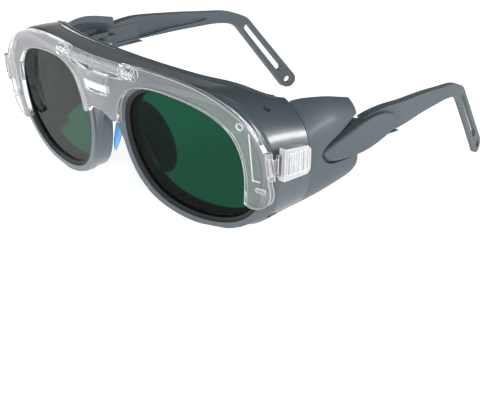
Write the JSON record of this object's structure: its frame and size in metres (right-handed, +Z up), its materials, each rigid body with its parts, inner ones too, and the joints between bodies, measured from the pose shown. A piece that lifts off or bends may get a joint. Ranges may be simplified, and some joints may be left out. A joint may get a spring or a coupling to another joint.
{
  "type": "welding goggles",
  "caption": "Slate welding goggles with green filter lenses, a clear flip-up lens carrier, side shields and slotted folding temples.",
  "frame": {"origin": "middle of the footprint on the surface the goggles stand on, below the centre of the bounding box", "axes": "+Z up, -Y the way the lenses face, +X the wearer's left"},
  "size_m": [0.1608, 0.1688, 0.0621],
  "materials": {
    "slate": "satin",
    "filter_glass": "polished",
    "gasket": "matte",
    "blue_rubber": "satin",
    "clear": "polished",
    "steel": "satin",
    "black_plastic": "matte"
  },
  "bodies": {
    "frame": {"front_frame": "slate", "left_side_shield": "slate", "right_side_shield": "slate", "left_lens": "filter_glass", "right_lens": "filter_glass", "left_lens_gasket": "gasket", "right_lens_gasket": "gasket", "shield_screws": "steel", "vent_baffles": "black_plastic", "left_nose_pad": "blue_rubber", "right_nose_pad": "blue_rubber", "left_pad_stalk": "slate", "right_pad_stalk": "slate", "hinge_base": "clear", "hinge_axle": "steel", "left_hinge_bracket": "slate", "right_hinge_bracket": "slate", "left_fold_pin": "steel", "right_fold_pin": "steel"},
    "carrier": {"lens_carrier": "clear", "carrier_pins": "clear", "left_latch_pin": "steel", "right_latch_pin": "steel"},
    "left_latch": {"left_latch_arm": "clear", "left_latch_grip": "clear"},
    "left_temple": {"left_temple_cover": "slate", "left_temple_knuckle": "slate", "left_cover_screw": "steel"},
    "left_arm": {"left_temple_arm": "slate"},
    "right_latch": {"right_latch_arm": "clear", "right_latch_grip": "clear"},
    "right_temple": {"right_temple_cover": "slate", "right_temple_knuckle": "slate", "right_cover_screw": "steel"},
    "right_arm": {"right_temple_arm": "slate"}
  },
  "joints": [
    {"name": "carrier_flip", "type": "hinge", "parent": "frame", "child": "carrier", "pos_m": [0, -0.0816, 0.059], "axis": [-1, 0, 0], "range_deg": [0, 85]},
    {"name": "left_temple_fold", "type": "hinge", "parent": "frame", "child": "left_temple", "pos_m": [0.0704, -0.0182, 0.0356], "axis": [0, 0, 1], "range_deg": [0, 90]},
    {"name": "left_arm_slide", "type": "slide", "parent": "left_temple", "child": "left_arm", "axis": [0, 1, 0], "range_m": [0, 0.008]},
    {"name": "left_latch_swing", "type": "hinge", "parent": "carrier", "child": "left_latch", "pos_m": [0.077, -0.0641, 0.0342], "axis": [0, 0.195, -0.9808], "range_deg": [0, 12], "stiffness_Nm_per_rad": 0.02},
    {"name": "right_temple_fold", "type": "hinge", "parent": "frame", "child": "right_temple", "pos_m": [-0.0704, -0.0182, 0.0356], "axis": [0, 0, -1], "range_deg": [0, 80]},
    {"name": "right_arm_slide", "type": "slide", "parent": "right_temple", "child": "right_arm", "axis": [0, 1, 0], "range_m": [0, 0.008]},
    {"name": "right_latch_swing", "type": "hinge", "parent": "carrier", "child": "right_latch", "pos_m": [-0.077, -0.0641, 0.0342], "axis": [0, -0.195, 0.9808], "range_deg": [0, 12], "stiffness_Nm_per_rad": 0.02}
  ]
}
